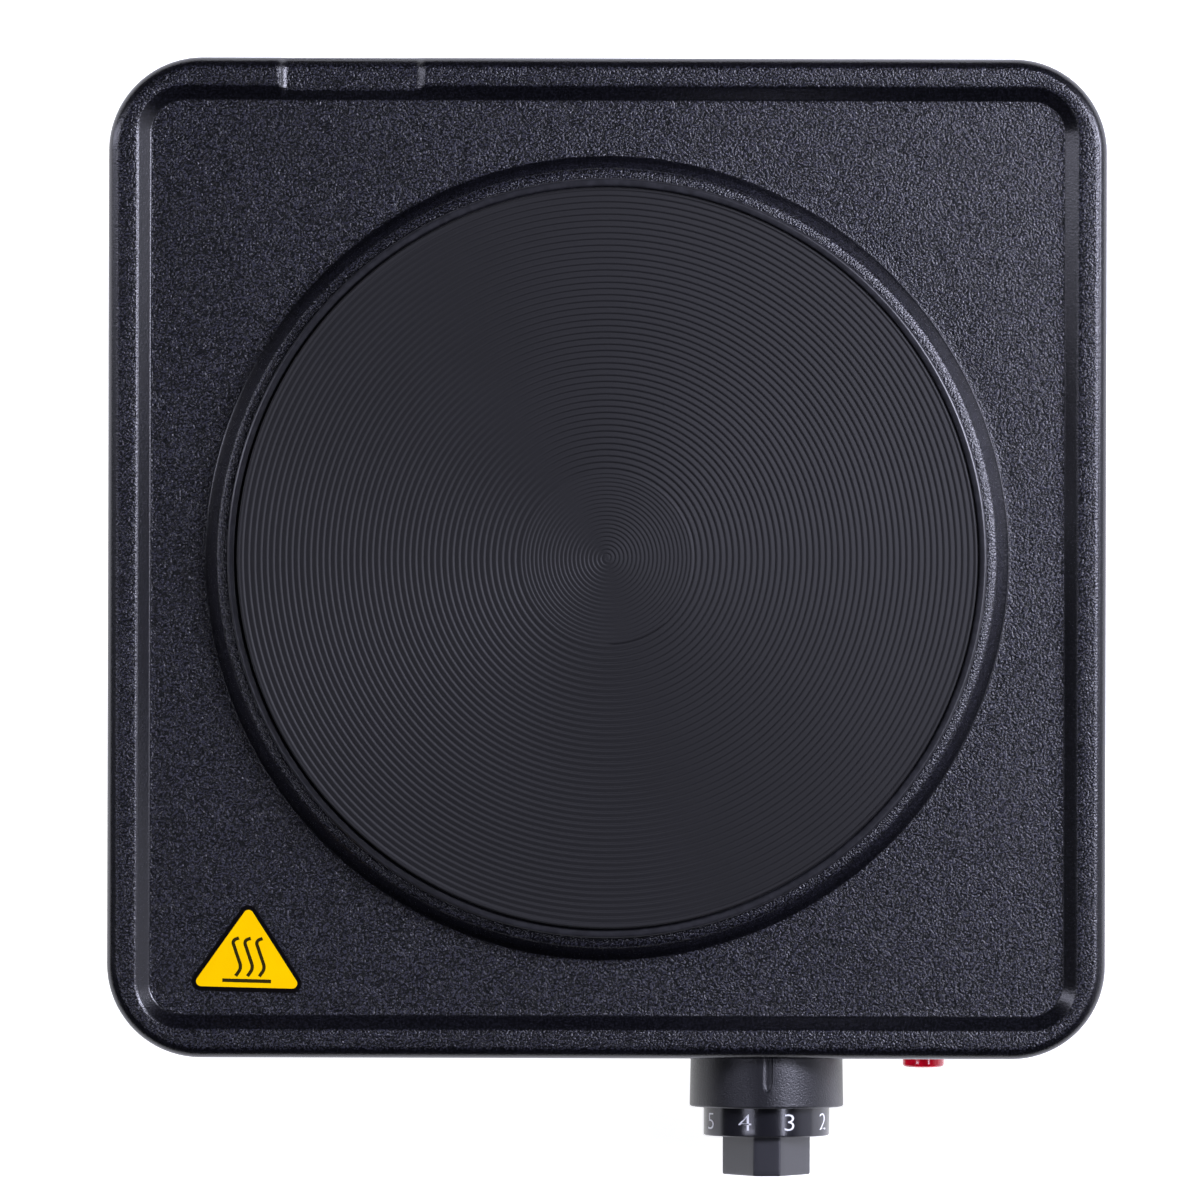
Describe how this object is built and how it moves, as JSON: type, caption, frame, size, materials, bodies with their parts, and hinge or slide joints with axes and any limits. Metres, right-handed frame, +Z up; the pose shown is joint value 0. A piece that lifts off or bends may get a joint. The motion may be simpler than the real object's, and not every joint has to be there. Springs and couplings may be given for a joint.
{
  "type": "portable hot plate burner",
  "caption": "Square table-top electric hot plate: black pressed steel case, round grooved cast-iron plate, front control knob and red pilot lamp.",
  "frame": {"origin": "on the table, below the middle of the whole appliance from its rear wall to the front of its knob", "axes": "+Z up, +Y to the rear wall, -Y to the control knob, +X to the right seen from the front"},
  "size_m": [0.2498, 0.2802, 0.0665],
  "materials": {
    "case_enamel": "black fine-textured powder coat on pressed steel",
    "ring_enamel": "smooth semi-gloss black heat-proof enamel",
    "cast_iron": "turned cast iron with a baked black coating",
    "zinc_steel": "galvanised sheet",
    "screw_steel": "zinc-plated fastener",
    "spring_steel": "tempered spring strip",
    "terminal_steel": "nickel-plated steel",
    "heater_wire": "oxidised resistance wire",
    "bright_aluminium": "bright rolled aluminium",
    "turned_brass": "turned and stamped brass",
    "silver_contact": "silver contact",
    "pressed_ceramic": "pressed magnesia filler",
    "white_ceramic": "unglazed steatite",
    "collar_plastic": "satin black heat-proof plastic",
    "knob_plastic": "dark grey moulded plastic",
    "red_lens": "translucent red lens",
    "lamp_plastic": "off-white heat-proof plastic",
    "bulb_glass": "clear neon bulb",
    "foot_rubber": "black moulded rubber",
    "label_film": "yellow printed film",
    "brown_sleeve": "woven glass-fibre sleeve, brown",
    "blue_sleeve": "woven glass-fibre sleeve, blue",
    "green_sleeve": "woven glass-fibre sleeve, green and yellow",
    "lamp_sleeve": "woven glass-fibre sleeve, white"
  },
  "bodies": {
    "case": {"base_plate": "zinc_steel", "bimetal_pin": "white_ceramic", "bimetal_strip": "spring_steel", "bridge_nut": "screw_steel", "bridge_washer": "screw_steel", "bush_nut": "turned_brass", "centre_stud": "screw_steel", "ceramic_filler": "pressed_ceramic", "clamp_bridge": "zinc_steel", "contact_blades": "turned_brass", "contact_points": "silver_contact", "cord_bush": "collar_plastic", "corner_posts": "zinc_steel", "earth_lead": "green_sleeve", "earth_nut": "screw_steel", "earth_screw": "screw_steel", "feet": "foot_rubber", "foot_screws": "screw_steel", "heat_label": "label_film", "heat_shield": "bright_aluminium", "heating_coils": "heater_wire", "hot_plate": "cast_iron", "knob_collar": "collar_plastic", "lamp_body": "lamp_plastic", "lamp_bulb": "bulb_glass", "lamp_clip": "spring_steel", "lamp_leads": "lamp_sleeve", "lamp_lens": "red_lens", "live_lead": "brown_sleeve", "neutral_lead": "blue_sleeve", "overflow_ring": "ring_enamel", "plate_cover": "zinc_steel", "plate_terminals": "terminal_steel", "shield_nut": "screw_steel", "stack_insulators": "white_ceramic", "stack_rivet": "terminal_steel", "switched_lead": "brown_sleeve", "terminal_beads": "white_ceramic", "terminal_block": "lamp_plastic", "terminal_screws": "screw_steel", "terminal_sleeves": "turned_brass", "thermal_fuse": "bright_aluminium", "thermostat_bracket": "zinc_steel", "thermostat_bush": "turned_brass", "thermostat_screws": "screw_steel", "top_shell": "case_enamel"},
    "knob": {"control_knob": "knob_plastic", "knob_spring_clip": "spring_steel", "control_spindle": "terminal_steel", "spindle_tip": "white_ceramic"}
  },
  "joints": [
    {"name": "knob_turn", "type": "hinge", "parent": "case", "child": "knob", "pos_m": [0.0405, -0.13009, 0.0335], "axis": [0, 1, 0], "range_deg": [-145, 104]}
  ]
}
